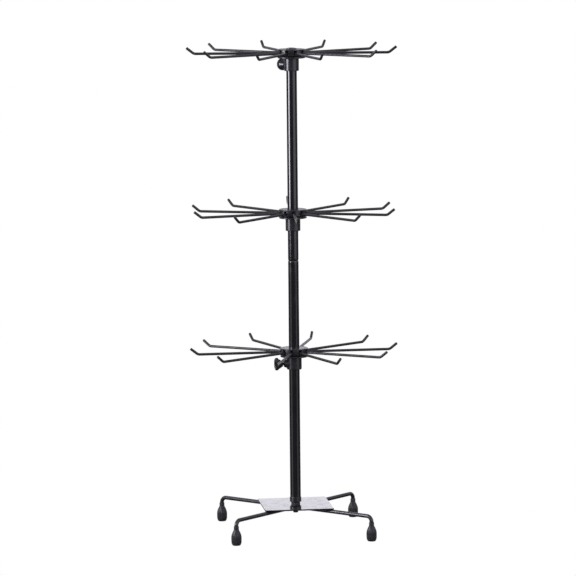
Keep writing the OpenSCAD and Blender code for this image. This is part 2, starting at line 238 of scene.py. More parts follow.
def make_piece(name, shells, finish, body, node, sharp=38):
    """One object from closed surfaces in millimetres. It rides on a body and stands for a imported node. Edges
    sharper than an angle in degrees are shaded sharp."""
    points, quads, first = [], [], 0
    for p, q in shells:
        points.append(p)
        quads.append(q + first)
        first += len(p)
    mesh = bpy.data.meshes.new(name)
    mesh.from_pydata((np.concatenate(points) * MM).tolist(), [], np.concatenate(quads).tolist())
    work = bmesh.new()
    work.from_mesh(mesh)
    bmesh.ops.remove_doubles(work, verts=work.verts, dist=2e-7)
    bmesh.ops.dissolve_degenerate(work, dist=1e-7, edges=work.edges)
    bmesh.ops.recalc_face_normals(work, faces=work.faces)
    work.to_mesh(mesh)
    work.free()
    mesh.shade_smooth()
    mesh.set_sharp_from_angle(angle=math.radians(sharp))
    mesh.materials.append(finish)
    made = bpy.data.objects.new(name, mesh)
    bpy.context.scene.collection.objects.link(made)
    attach(made, body)
    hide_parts(node)


# ---- Finishes ----


class Finish:
    """A node material on object coordinates, built up from named layers of pattern."""

    def __init__(self, name, **sockets):
        self.material = bpy.data.materials.new(name)
        self.material.use_nodes = True
        self.nodes = self.material.node_tree.nodes
        self.links = self.material.node_tree.links
        self.shader = next(n for n in self.nodes if n.type == "BSDF_PRINCIPLED")
        self.place = self.nodes.new("ShaderNodeTexCoord").outputs["Object"]
        self.bump_from = None
        for socket, value in sockets.items():
            self.shader.inputs[socket.replace("_", " ")].default_value = value

    def noise(self, per_metre, detail=3.0, stretch=(1, 1, 1)):
        """Cloudy noise from 0 to 1, so many clouds to the metre, finer along the axes that are stretched."""
        place = self.place
        if stretch != (1, 1, 1):
            mapping = self.nodes.new("ShaderNodeMapping")
            mapping.inputs["Scale"].default_value = stretch
            self.links.new(place, mapping.inputs["Vector"])
            place = mapping.outputs["Vector"]
        pattern = self.nodes.new("ShaderNodeTexNoise")
        pattern.inputs["Scale"].default_value = per_metre
        pattern.inputs["Detail"].default_value = detail
        pattern.inputs["Roughness"].default_value = 0.55
        self.links.new(place, pattern.inputs["Vector"])
        return pattern.outputs["Fac"]

    def speckle(self, per_metre, size):
        """Scattered dots: 1 inside size of a cell's point, 0 outside."""
        cells = self.nodes.new("ShaderNodeTexVoronoi")
        cells.inputs["Scale"].default_value = per_metre
        self.links.new(self.place, cells.inputs["Vector"])
        return self.range(cells.outputs["Distance"], size * 0.6, size, 1.0, 0.0)

    def range(self, value, low, high, to_low, to_high):
        """The value carried from low..high to to_low..to_high, and held at the ends."""
        node = self.nodes.new("ShaderNodeMapRange")
        ends = {"From Min": low, "From Max": high, "To Min": to_low, "To Max": to_high}
        for socket, number in ends.items():
            node.inputs[socket].default_value = number
        self.links.new(value, node.inputs["Value"])
        return node.outputs["Result"]

    def maths(self, kind, a, b):
        """Two values, each a number or a socket, put together by one operation."""
        node = self.nodes.new("ShaderNodeMath")
        node.operation = kind
        for k, v in enumerate((a, b)):
            if isinstance(v, (int, float)):
                node.inputs[k].default_value = v
            else:
                self.links.new(v, node.inputs[k])
        return node.outputs["Value"]

    def blend(self, share, a, b):
        """Colour a where share is 0, colour b where it is 1."""
        node = self.nodes.new("ShaderNodeMix")
        node.data_type = "RGBA"
        self.links.new(share, node.inputs["Factor"])
        for socket, colour in ((node.inputs[6], a), (node.inputs[7], b)):
            if isinstance(colour, (tuple, list)):
                socket.default_value = (*colour, 1)
            else:
                self.links.new(colour, socket)
        return node.outputs[2]

    def along(self, axis):
        """One coordinate of the place, in metres."""
        split = self.nodes.new("ShaderNodeSeparateXYZ")
        self.links.new(self.place, split.inputs["Vector"])
        return split.outputs[axis]

    def put(self, socket, value):
        """Drive a socket of the shader."""
        self.links.new(value, self.shader.inputs[socket])

    def bump(self, height, depth_mm, strength):
        """Relief of a depth, laid over the relief that is already there."""
        node = self.nodes.new("ShaderNodeBump")
        node.inputs["Distance"].default_value = depth_mm * MM
        node.inputs["Strength"].default_value = strength
        self.links.new(height, node.inputs["Height"])
        if self.bump_from is not None:
            self.links.new(self.bump_from, node.inputs["Normal"])
        self.bump_from = node.outputs["Normal"]
        self.links.new(self.bump_from, self.shader.inputs["Normal"])


def coated(name, dark, light, gloss, peel_mm, peel_per_metre, dust=0.25):
    """Gloss powder coat: near black with a slow drift of tone, a fine orange peel, a little dust and rubbed
    patches that are duller."""
    f = Finish(name, IOR=1.5, Coat_Weight=0.35, Coat_Roughness=0.06)
    drift = f.noise(35, 2.0)
    fine = f.noise(2600, 2.0)
    tone = f.blend(f.range(drift, 0.35, 0.7, 0, 1), dark, light)
    specks = f.maths("MULTIPLY", f.speckle(900, 0.16), f.range(f.noise(60), 0.5, 0.75, 0, dust))
    f.put("Base Color", f.blend(specks, tone, (0.16, 0.155, 0.15)))
    rubbed = f.range(f.noise(90, 4.0), 0.45, 0.75, gloss, gloss + 0.12)
    f.put("Roughness", f.maths("ADD", rubbed, f.range(fine, 0.3, 0.7, -0.02, 0.03)))
    f.bump(f.noise(peel_per_metre, 1.5), peel_mm, 0.5)
    f.bump(fine, peel_mm * 0.15, 0.35)
    return f.material


def wire_coat(name, tip_from, tip_to):
    """The hooks' coat: as the frame's, but duller from scuffs and rubbed thin at the tips, where goods slide
    on and off. The rub grows with distance from the pole's axis, from tip_from to tip_to."""
    f = Finish(name, IOR=1.5, Coat_Weight=0.08, Coat_Roughness=0.25)
    squares = [f.maths("POWER", f.along(axis), 2.0) for axis in "XY"]
    away = f.maths("POWER", f.maths("ADD", *squares), 0.5)
    at_tip = f.range(away, tip_from * MM, tip_to * MM, 0.0, 1.0)
    worn = f.maths("MULTIPLY", at_tip, f.range(f.noise(700, 4.0), 0.52, 0.68, 0.0, 0.55))
    tone = f.blend(f.range(f.noise(50), 0.35, 0.7, 0, 1), (0.010, 0.010, 0.011), (0.018, 0.018, 0.019))
    f.put("Base Color", f.blend(worn, tone, (0.07, 0.068, 0.066)))
    scuffs = f.range(f.noise(240, 5.0), 0.4, 0.75, 0.34, 0.46)
    f.put("Roughness", f.maths("ADD", scuffs, f.range(f.noise(3000), 0.3, 0.7, -0.02, 0.04)))
    f.bump(f.noise(520, 2.0), 0.005, 0.5)
    f.bump(f.noise(3000, 2.0), 0.001, 0.4)
    return f.material


def moulded(name, dark, light, rough, grain_mm=0.012):
    """Gloss moulded plastic: flow marks that drift in tone and gloss, a fine grain and a few scuffs."""
    f = Finish(name, IOR=1.49, Coat_Weight=0.15, Coat_Roughness=0.1)
    flow = f.noise(120, 3.0, stretch=(1, 1, 2.5))
    f.put("Base Color", f.blend(f.range(flow, 0.35, 0.7, 0, 1), dark, light))
    scuff = f.range(f.noise(500, 5.0, stretch=(1, 3, 1)), 0.55, 0.72, 0.0, 0.12)
    f.put("Roughness", f.maths("ADD", scuff, f.range(flow, 0.3, 0.7, rough, rough + 0.06)))
    f.bump(f.noise(900, 2.0), grain_mm, 0.5)
    f.bump(f.noise(4200, 1.0), grain_mm * 0.4, 0.4)
    return f.material


def rubber(name):
    """Moulded rubber: black with a low sheen, a dusty bloom, painted light from the floor's glow that lightens
    it towards the floor, and a coarse grain."""
    f = Finish(name, IOR=1.47, Specular_IOR_Level=0.45, Sheen_Weight=0.04, Sheen_Roughness=0.5)
    # Painted light: low is 1 at the floor and 0 at 12 mm up, so the light bloom grows towards the floor as a
    # painted floor glow; the 0.2 added to it is real dusty bloom everywhere.
    low = f.range(f.along("Z"), 0.0, 0.012, 1.0, 0.0)
    bloom_and_floor_glow = f.maths("MULTIPLY", f.maths("ADD", low, 0.2), f.range(f.noise(260, 4.0), 0.4, 0.8, 0.0, 0.3))
    tone = f.blend(f.range(f.noise(150), 0.3, 0.7, 0, 1), (0.011, 0.011, 0.012), (0.022, 0.022, 0.022))
    f.put("Base Color", f.blend(bloom_and_floor_glow, tone, (0.10, 0.098, 0.094)))
    f.put("Roughness", f.range(f.noise(800, 3.0), 0.3, 0.7, 0.34, 0.48))
    f.bump(f.noise(1500, 3.0), 0.012, 0.5)
    return f.material


def plated(name, colour, tint, rough):
    """Plated metal: two close tints in cloudy patches, a fine grain, and dull spots."""
    f = Finish(name, Metallic=1.0)
    f.put("Base Color", f.blend(f.range(f.noise(220, 3.0), 0.35, 0.7, 0, 1), colour, tint))
    grain = f.noise(1500, 3.0)
    f.put("Roughness", f.maths("ADD", f.range(grain, 0.3, 0.7, rough - 0.05, rough + 0.08),
                               f.range(f.noise(300), 0.55, 0.75, 0.0, 0.12)))
    f.bump(grain, 0.01, 0.5)
    return f.material


def nylon(name):
    """Black nylon: satin, with a little light under the surface and fine marks that run round it."""
    f = Finish(name, IOR=1.53, Subsurface_Weight=0.15, Subsurface_Scale=0.001)
    tone = f.range(f.noise(400), 0.3, 0.7, 0, 1)
    f.put("Base Color", f.blend(tone, (0.020, 0.020, 0.021), (0.030, 0.030, 0.031)))
    f.put("Roughness", f.range(f.noise(900, 3.0, stretch=(1, 1, 4)), 0.3, 0.7, 0.32, 0.46))
    f.bump(f.noise(1800, 2.0), 0.008, 0.4)
    return f.material


PLATE = coated("plate_coat", (0.007, 0.007, 0.0075), (0.011, 0.011, 0.012), 0.12, 0.008, 300, dust=0.15)
TUBE = coated("tube_coat", (0.005, 0.005, 0.0055), (0.009, 0.009, 0.0095), 0.12, 0.004, 380, dust=0.12)
LEG = coated("leg_coat", (0.009, 0.009, 0.0095), (0.015, 0.015, 0.016), 0.30, 0.008, 420)
BEAD = coated("weld_coat", (0.010, 0.010, 0.0105), (0.018, 0.018, 0.019), 0.24, 0.10, 700)
WIRE = wire_coat("hook_coat", 143, 158)
HUB = moulded("hub_plastic", (0.014, 0.014, 0.0155), (0.020, 0.020, 0.022), 0.24, 0.006)
KNOB = moulded("knob_plastic", (0.011, 0.011, 0.0115), (0.017, 0.017, 0.018), 0.17)
CAP = moulded("cap_plastic", (0.012, 0.012, 0.0125), (0.018, 0.018, 0.019), 0.26)
BUSH = moulded("bush_plastic", (0.008, 0.008, 0.0085), (0.013, 0.013, 0.014), 0.30, 0.01)
RUBBER = rubber("foot_rubber")
ZINC = plated("zinc_steel", (0.58, 0.58, 0.57), (0.66, 0.65, 0.60), 0.30)
BLACKED = plated("black_steel", (0.045, 0.045, 0.047), (0.075, 0.073, 0.070), 0.34)
BRASS = plated("insert_brass", (0.62, 0.44, 0.16), (0.70, 0.52, 0.22), 0.27)
NYLON = nylon("nylon")


# ---- Base ----


def plate_shell(half, corner, z0, z1, hole_r):
    """Square plate with round corners: at each of many bearings the outline stands at the rounded square's
    distance, drawn in by the edge's rounding near both faces, and the faces run in to the round hole."""
    edge, last_flat, last_face = 0.4, 1.5, 2.2
    t = np.linspace(0, QUARTER, 24)
    c = half - corner
    quarter = np.stack([c + corner * np.cos(t), c + corner * np.sin(t)], 1)
    way = np.stack([np.cos(t), np.sin(t)], 1)
    side = np.linspace(-1, 1, 13)[1:-1] * c
    run = np.stack([side[::-1], np.full(len(side), float(half))], 1)
    out = np.stack([np.zeros(len(side)), np.ones(len(side))], 1)
    piece, face = np.concatenate([quarter, run]), np.concatenate([way, out])
    spins = [np.array([[math.cos(a), math.sin(a)], [-math.sin(a), math.cos(a)]])
             for a in (0, QUARTER, math.pi, 1.5 * math.pi)]
    outline = np.concatenate([piece @ s for s in spins])
    normal = np.concatenate([face @ s for s in spins])
    bearing = np.arctan2(outline[:, 1], outline[:, 0])
    hole = hole_r * np.stack([np.cos(bearing), np.sin(bearing)], 1)
    shares = np.linspace(0, 1, 7)[:-1]
    q = np.linspace(0, QUARTER, 6)
    rows = [(hole + (outline - normal * edge * last_face - hole) * f, z0) for f in shares]
    rows.append((outline - normal * edge * last_flat, z0))
    rows += [(outline - normal * edge * (1 - math.sin(a)), z0 + edge * (1 - math.cos(a))) for a in q]
    rows += [(outline - normal * edge * (1 - math.cos(a)), z1 - edge * (1 - math.sin(a))) for a in q]
    rows.append((outline - normal * edge * last_flat, z1))
    rows += [(hole + (outline - normal * edge * last_face - hole) * f, z1) for f in np.linspace(1, 0, 7)[1:]]
    points = np.stack([np.concatenate([p, np.full((len(p), 1), z)], 1) for p, z in rows])
    return grid(points, closed=True)


PLATE_CORNER_R, PLATE_HOLE_R = 3.0, 4.1
low, high = span("base_plate")
DECK, PLATE_TOP, PLATE_HALF = low[2], high[2], high[0]
make_piece("base_plate_coated", [plate_shell(PLATE_HALF, PLATE_CORNER_R, DECK, PLATE_TOP, PLATE_HOLE_R)],
           PLATE, "base", "base_plate")

LEG_R = 3.0
LEG_Z = DECK - LEG_R
KNEE_R = 8.0
LEG_START = 12.0
FOOT_FLOOR = 4.0
NECK_WALL, NECK_LEN = 0.8, 5.0
FLUTES = 20
foot_low, foot_high = span("foot_front_right")
FOOT_R = math.sqrt(2) * (foot_high[0] + foot_low[0]) / 2
FOOT_H = foot_high[2]
FOOT_BELLY_R = (foot_high[0] - foot_low[0]) / 2

leg_path = bent_path([(LEG_START, LEG_Z, 0), ("run", FOOT_R - KNEE_R - LEG_START), ("bend", KNEE_R, -90),
                      ("run", LEG_Z - KNEE_R - FOOT_FLOOR)])
for corner, bearing in CORNERS.items():
    make_piece("leg_rod_" + corner, [moved(rod(leg_path, LEG_R, 32, 0.8, 0.4), bearing)],
               LEG, "base", "leg_" + corner)


def weld_bead(side):
    """Fillet bead beside a rod: an ellipse in the corner between rod and plate, carried along the rod, whose
    size ripples as the weld's pools overlap and tapers off at both ends."""
    length, start, pools = 26.0, LEG_START + 6, 11
    centre_y, centre_drop, half_width, half_height = 2.35, 0.80, 0.95, 0.78
    u = np.linspace(0, 1, 90)[:, None]
    v = np.arange(18) * TAU / 18
    pool = 1 + 0.10 * np.abs(np.sin(math.pi * pools * u)) + 0.03 * np.sin(37 * u + side)
    size = pool * np.sqrt(np.clip(1 - (2 * u - 1) ** 12, 0, 1))
    y = side * (centre_y + half_width * size * np.cos(v))
    z = DECK - centre_drop + half_height * size * np.sin(v)
    x = start + length * u + 0 * y
    return grid(np.stack([x, y, z], -1))


beads = [moved(weld_bead(side), bearing) for bearing in CORNERS.values() for side in (-1, 1)]
make_piece("leg_weld_beads", beads, BEAD, "base", "leg_welds", sharp=60)


def foot_shell():
    """Rubber foot: from a dished sole the radius grows as belly - (belly - sole) (1 - z / waist)^5, falls as
    a cosine over the shoulder, and runs straight up the neck. Flutes run over the belly and fade out above
    and below it."""
    neck_r, sole_r, belly_r = LEG_R + NECK_WALL, 5.5, FOOT_BELLY_R
    flare_h = FOOT_H - NECK_LEN
    waist = flare_h / 2
    z = waist * np.linspace(0.04, 1, 18) ** 1.4
    low_part = np.stack([belly_r - (belly_r - sole_r) * (1 - z / waist) ** 5, z], 1)
    share = np.linspace(0, 1, 24)[1:]
    shoulder = neck_r + (belly_r - neck_r) * np.cos(share * QUARTER)
    high_part = np.stack([shoulder, waist + waist * share], 1)
    sole = np.array([[0, 0.5], [3.0, 0.5], [3.5, 0.45], [3.9, 0.05], [4.3, 0], [5.1, 0]])
    lip = np.array([[neck_r, flare_h + 0.4], [neck_r, FOOT_H - 0.35], [neck_r - 0.08, FOOT_H - 0.12],
                    [neck_r - 0.25, FOOT_H], [LEG_R + 0.3, FOOT_H], [LEG_R + 0.12, FOOT_H - 0.1],
                    [LEG_R + 0.05, FOOT_H - 0.4], [LEG_R + 0.05, FOOT_FLOOR], [0, FOOT_FLOOR]])

    def flutes(angle, r, z):
        """A rounded groove at each flute's bearing, faded in over the sole and out at the shoulder."""
        depth = 0.45
        band = np.clip((z - 2.2) / 2.5, 0, 1) * np.clip((flare_h - 3 - z) / 6, 0, 1)
        groove = np.clip(np.cos(FLUTES * angle) * 0.5 + 0.5, 0, 1) ** 1.6
        return -depth * groove * band * (r > neck_r)

    return turned(np.concatenate([sole, low_part, high_part, lip]), 12 * FLUTES, ripple=flutes)


for corner, bearing in CORNERS.items():
    a = math.radians(bearing)
    place = (FOOT_R * math.cos(a), FOOT_R * math.sin(a), 0)
    make_piece("rubber_foot_" + corner, [moved(foot_shell(), 0, place)],
               RUBBER, "base", "foot_" + corner, sharp=60)

STUD_PITCH, STUD_THREAD = 1.25, 0.7
low, high = span("spindle_stud")
STUD_R = high[0]
STUD_BORE = STUD_R + 0.08
make_piece("spindle_stud_thread", [thread(STUD_R, STUD_PITCH, STUD_THREAD, low[2], high[2], 40)],
           BLACKED, "base", "spindle_stud", sharp=70)
low, high = span("spindle_washer")
make_piece("spindle_washer_plain", [turned_ring(STUD_BORE, high[0], low[2], high[2], 0.1, 0.3)],
           BLACKED, "base", "spindle_washer")
for node, ends in (("spindle_nut", (True, True)), ("spindle_jam_nut", (False, True))):
    low, high = span(node)
    make_piece(node + "_hex", [hex_nut(high[1] * 2, STUD_R + 0.05, low[2], high[2] - low[2], ends)],
               BLACKED, "base", node, sharp=28)
low, high = span("thrust_washer")
make_piece("thrust_washer_ring", [turned_ring(STUD_BORE, high[0], low[2], high[2], 0.1, 0.2, steps=3)],
           NYLON, "base", "thrust_washer")

# ---- Pole ----

TUBE_WALL, ROLL_IN, ROLL_UP = 1.5, 1.1, 2.4


def tube_shell(z0, z1, outer, rolled_up):
    """Round tube whose one end rolls inwards over a quarter ellipse; the other end has a small rounding."""
    inner = outer - TUBE_WALL
    q = np.linspace(0, QUARTER, 9)
    roll = np.stack([outer - ROLL_IN * (1 - np.cos(q)), ROLL_UP * (np.sin(q) - 1)], 1)
    length = z1 - z0
    body = np.stack([np.full(24, outer), np.linspace(0.4, length - ROLL_UP - 0.3, 24)], 1)
    foot = np.array([[inner, 0.0], [outer - 0.25, 0.0], [outer - 0.07, 0.08], [outer, 0.25]])
    top = roll + np.array([0, length])
    lip = np.array([[inner + 0.1, length], [inner, length - 0.2], [inner, 0.1]])
    profile = np.concatenate([foot, body, top, lip])
    profile[:, 1] = z0 + profile[:, 1] if rolled_up else z1 - profile[:, 1]
    return turned(profile, 96, True)


low, high = span("lower_tube")
POLE_R, LOWER_END = high[0], low[2]
make_piece("lower_pole_tube", [tube_shell(low[2], high[2], POLE_R, True)],
           TUBE, "pole", "lower_tube")
low, high = span("upper_tube")
POLE_TOP = high[2]
make_piece("upper_pole_tube", [tube_shell(low[2], high[2], POLE_R, False)],
           TUBE, "pole", "upper_tube")

PLUG_R = POLE_R - TUBE_WALL - 0.05
JOINER_WALL = 1.6
low, high = span("tube_joiner")
make_piece("tube_joiner_sleeve", [turned_ring(high[0] - JOINER_WALL, high[0], low[2], high[2], 0.2, 0.6)],
           ZINC, "pole", "tube_joiner")
low, high = span("pole_foot_bush")
foot_bush = rounded([(STUD_BORE, low[2], 0.3), (high[0], low[2], 0.9), (high[0], LOWER_END, 0.7),
                     (PLUG_R, LOWER_END, 0.2), (PLUG_R, high[2], 0.8), (STUD_BORE, high[2], 0.3)])
make_piece("pole_foot_bush_turned", [turned(foot_bush, 96, True)],
           BUSH, "pole", "pole_foot_bush")
low, high = span("spindle_top_bush")
make_piece("spindle_top_bush_turned", [turned_ring(STUD_BORE, high[0], low[2], high[2], 0.3, 0.5)],
           BUSH, "pole", "spindle_top_bush")


def cap_shell(low_z, top_z):
    """Pole cap: a stem inside the tube, a soft rim on its end, and a dome cut from a sphere of radius
    (R^2 + h^2) / 2h, where R is the pole's radius and h the dome's height."""
    rim_h, rim_in = 0.6, 0.35
    dome = top_z - POLE_TOP - rim_h
    dome_r = (POLE_R ** 2 + dome ** 2) / (2 * dome)
    t = np.linspace(0, math.asin((POLE_R - rim_in) / dome_r), 14)
    crown = np.stack([dome_r * np.sin(t), top_z - dome_r * (1 - np.cos(t))], 1)[::-1]
    stem = rounded([(0, low_z, 0), (PLUG_R, low_z, 0.8), (PLUG_R, POLE_TOP, 0.1),
                    (POLE_R, POLE_TOP, 0.15)], False)
    rim = np.array([[POLE_R - 0.15, 0], [POLE_R - 0.02, 0.12], [POLE_R, 0.35], [POLE_R - 0.05, 0.62]])
    rim[:, 1] += POLE_TOP
    return turned(np.concatenate([stem[:-1], rim, crown]), 96)


low, high = span("pole_cap")
make_piece("pole_cap_domed", [cap_shell(low[2], high[2])], CAP, "pole", "pole_cap")

# ---- Tiers ----

# Hooks, and the slots they lie in. Heights within a tier are measured from the hooks' axes.
HOOKS = 10
STEP = 360 / HOOKS
WIRE_R, SLOT_HALF, BORE_R = 2.0, 2.15, POLE_R + 0.1
SEAT_R, INNER_BEND_R = BORE_R + 4.25 + SLOT_HALF, 3.2
HOOK_REACH, TIP_BEND_R, TIP_ANGLE, TIP_LEN = 157.0, 8.0, 38.0, 14.5
LEG_GAP = 0.2
# Wheel, cover and collar.
COVER_T, TOOTH_RISE, RING_T, FLANGE_T = 1.5, 4.5, 0.6, 2.3
WHEEL_R = 20.95
FLOOR_TOP = -SLOT_HALF
ROOT = FLOOR_TOP - 0.5
SLEEVE_R = BORE_R + 3.1
# Clamp: boss, insert, screw and knob, from the pole's axis outwards.
CLAMP_RISE = 8.5
BOSS_START, BOSS_ROOT_R, BOSS_TIP_R, BOSS_END = BORE_R - 1, 8.2, 4.6, SLEEVE_R + 4.5
SCREW_R, SCREW_PITCH, SCREW_THREAD = 2.5, 0.8, 0.45
INSERT_R, INSERT_START, INSERT_END = 3.7, BORE_R + 1, BOSS_END - 1.2
KNOB_START, KNOB_NECK, KNOB_GRIP, KNOB_R = BOSS_END + 2.2, 6.5, 5.0, 9.5
KNOB_END = KNOB_START + KNOB_NECK + KNOB_GRIP


def land_outline(r_in, r_out, gap):
    """Outline of the land between two slots a step apart: the rim's arc, both slot sides and the hub's arc,
    with the rim's corners drawn in a little. A slot's side at radius r stands at the angle whose sine is
    gap / r from the slot's middle line."""
    soft = 0.5
    half = math.radians(STEP) / 2
    rim = half - math.asin(min(gap / r_out, 1)) - soft / r_out
    t = np.linspace(-rim, rim, 10)
    arc = np.stack([r_out * np.cos(t), r_out * np.sin(t)], 1)
    q = np.linspace(0, QUARTER, 5)[1:]
    r_turn = r_out - soft * (1 - np.cos(q))
    a_turn = rim + soft / r_out * np.sin(q)
    turn = np.stack([r_turn * np.cos(a_turn), r_turn * np.sin(a_turn)], 1)
    r = np.linspace(r_out - soft * 1.5, r_in, 6)
    a = half - np.arcsin(np.minimum(gap / r, 1))
    flank = np.stack([r * np.cos(a), r * np.sin(a)], 1)
    upper = np.concatenate([turn, flank])
    lower = upper[::-1] * np.array([1, -1])
    return np.concatenate([arc, upper, lower])


def tooth_shell(z0, z1, inner, outer):
    """One tooth between two slots: its outline runs at a fixed distance from both slots' middle lines and
    round the rim, and draws in over a small rounding at the top."""
    soft = 0.35
    levels = [(0.0, z0), (0.0, z1 - soft - 0.5)]
    levels += [(soft * (1 - math.cos(a)), z1 - soft * (1 - math.sin(a))) for a in np.linspace(0, QUARTER, 5)]
    rows = []
    for draw, z in levels:
        edge = land_outline(inner + draw, outer - draw, SLOT_HALF + draw)
        rows.append(np.concatenate([edge, np.full((len(edge), 1), z)], 1))
    middle = rows[-1].mean(0)
    rows += [middle + (rows[-1] - middle) * f for f in (0.6, 0.0)]
    first = rows[0].mean(0)
    rows = [first + (rows[0] - first) * f for f in (0.0, 0.6)] + rows
    return grid(np.stack(rows))


def wheel_shells(bottom, ring_bottom, phase, z):
    """Slotted wheel: a turned floor with a chamfered rim and a bearing ring, a hub ring, and a tooth between
    each two slots."""
    bearing_ring, chamfer = 3.5, 1.8
    hub_r = SEAT_R - SLOT_HALF
    floor = rounded([(BORE_R, ring_bottom, 0.2), (BORE_R + bearing_ring, ring_bottom, 0.25),
                     (BORE_R + bearing_ring, bottom, 0.2), (WHEEL_R - chamfer, bottom, 0.4),
                     (WHEEL_R, bottom + chamfer, 0.5), (WHEEL_R, FLOOR_TOP, 0.2), (BORE_R, FLOOR_TOP, 0)])
    hub = rounded([(BORE_R, ROOT, 0), (hub_r, ROOT, 0), (hub_r, TOOTH_RISE, 0.2), (BORE_R, TOOTH_RISE, 0.2)])
    shells = [turned(floor, 120, True), turned(hub, 96, True)]
    tooth = tooth_shell(ROOT, TOOTH_RISE, hub_r - 0.6, WHEEL_R)
    shells += [moved(tooth, (k + 0.5) * STEP) for k in range(HOOKS)]
    return [moved(s, phase, (0, 0, z)) for s in shells]


def cover_shells(phase, z):
    """Cover disc: a soft outer edge and a shallow groove near the rim, on a peg over every second tooth."""
    top = TOOTH_RISE + COVER_T
    bore = BORE_R + 0.3
    groove_top = top - 0.3
    disc = rounded([(bore, TOOTH_RISE, 0.1), (WHEEL_R, TOOTH_RISE, 0.3), (WHEEL_R, top, 0.6),
                    (WHEEL_R - 2.2, top, 0.3), (WHEEL_R - 2.6, groove_top, 0.2),
                    (WHEEL_R - 3.4, groove_top, 0.2), (WHEEL_R - 3.8, top, 0.3), (bore, top, 0.2)], steps=4)
    peg_r, peg_low, peg_high = 1.2, TOOTH_RISE - 5, TOOTH_RISE + 0.3
    peg = rounded([(0, peg_low, 0), (peg_r, peg_low, 0.3), (peg_r, peg_high, 0), (0, peg_high, 0)], False)
    peg_place = ((SEAT_R + WHEEL_R) / 2, 0, 0)
    shells = [turned(disc, 120, True)]
    shells += [moved(moved(turned(peg, 24), 0, peg_place), (k + 0.5) * STEP) for k in range(0, HOOKS, 2)]
    return [moved(s, phase, (0, 0, z)) for s in shells]


def collar_shells(low_z, flange_z0, flange_z1, clamp_z, bearing, z):
    """Collar: a turned flange and sleeve with a fillet between them, and a boss that tapers out of the sleeve
    to the clamp screw's hole and is hollow around the insert."""
    body = rounded([(BORE_R, low_z, 0.5), (SLEEVE_R, low_z, 0.9), (SLEEVE_R, flange_z0, 1.2),
                    (WHEEL_R, flange_z0, 0.8), (WHEEL_R, flange_z1, 0.7), (BORE_R, flange_z1, 0.3)], steps=6)

    def seam(angle, r, height):
        """A faint groove along the mould's parting line, at two sides of the sleeve."""
        depth, half_width = 0.06, 0.25
        part = np.abs((angle / math.pi + 0.5) % 1 - 0.5) * math.pi
        return -depth * np.exp(-((part * r / half_width) ** 2)) * (np.abs(r - SLEEVE_R) < 0.1)

    shells = [turned(body, 192, True, seam)]
    inner, pocket_r, hole_r = BORE_R + 0.6, INSERT_R + 0.05, SCREW_R + 0.08
    share = (inner - BOSS_START) / (BOSS_END - BOSS_START)
    root = BOSS_ROOT_R + (BOSS_TIP_R - BOSS_ROOT_R) * share
    boss = rounded([(pocket_r, inner, 0), (root, inner, 0), (BOSS_TIP_R, BOSS_END, 0.8),
                    (hole_r, BOSS_END, 0.35), (hole_r, INSERT_END, 0), (pocket_r, INSERT_END, 0)])
    shells.append(moved(turned(boss, 96, True), 0, (0, 0, clamp_z), lay=True))
    return [moved(s, bearing, (0, 0, z)) for s in shells]


def knob_shell():
    """Clamp knob: a neck that flares to a round grip. The rim is scalloped by a cosine of 28 waves, and the
    face is dished with a small button in its middle."""
    r, grip, face = KNOB_R, KNOB_START + KNOB_NECK, KNOB_END
    profile = rounded([(0, KNOB_START, 0), (4.0, KNOB_START, 0.4), (r - 1.5, grip, 0.8), (r, grip + 1, 0.5),
                       (r, face - 1, 0.7), (r - 1, face, 0.6), (r - 2.2, face, 0.4),
                       (r - 2.9, face - 0.5, 0.4), (2.6, face - 0.8, 0.5), (2.0, face - 0.35, 0.4),
                       (0, face - 0.25, 0)], False, 4)

    def scallops(angle, radius, z):
        """A cosine of the angle, only where the radius is within the rim."""
        waves, depth = 28, 0.38
        rim = np.clip((radius - (r - 1.2)) / 0.9, 0, 1)
        return -depth * rim * (0.5 + 0.5 * np.cos(waves * angle)) ** 1.5

    return turned(profile, 280, ripple=scallops)


def hook_shell(leg_end):
    """Hook wire: up out of its pocket in the wheel, over a tight bend, straight along the arm and up at the
    tip."""
    tip_run = TIP_BEND_R * math.tan(math.radians(TIP_ANGLE / 2))
    corner = HOOK_REACH - TIP_LEN * math.cos(math.radians(TIP_ANGLE))
    arm = corner - tip_run - SEAT_R - INNER_BEND_R
    path = bent_path([(SEAT_R, leg_end, 90), ("run", -INNER_BEND_R - leg_end), ("bend", INNER_BEND_R, -90),
                      ("run", arm), ("bend", TIP_BEND_R, TIP_ANGLE), ("run", TIP_LEN - tip_run)])
    return rod(path, WIRE_R, 20, 0.3, 0.9)


def first_hook_bearing(node):
    """Bearing of the hook nearest +X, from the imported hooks: the mean direction of the points within half a
    millimetre of the farthest, with a step between hooks counted as a whole turn."""
    co = np.array([v.co for v in frame["nodes"][node].data.vertices], float)
    r = np.hypot(co[:, 0], co[:, 1])
    far = co[r > r.max() - 0.5 * MM]
    mean = np.exp(1j * HOOKS * np.arctan2(far[:, 1], far[:, 0])).mean()
    return math.degrees(np.angle(mean)) / HOOKS


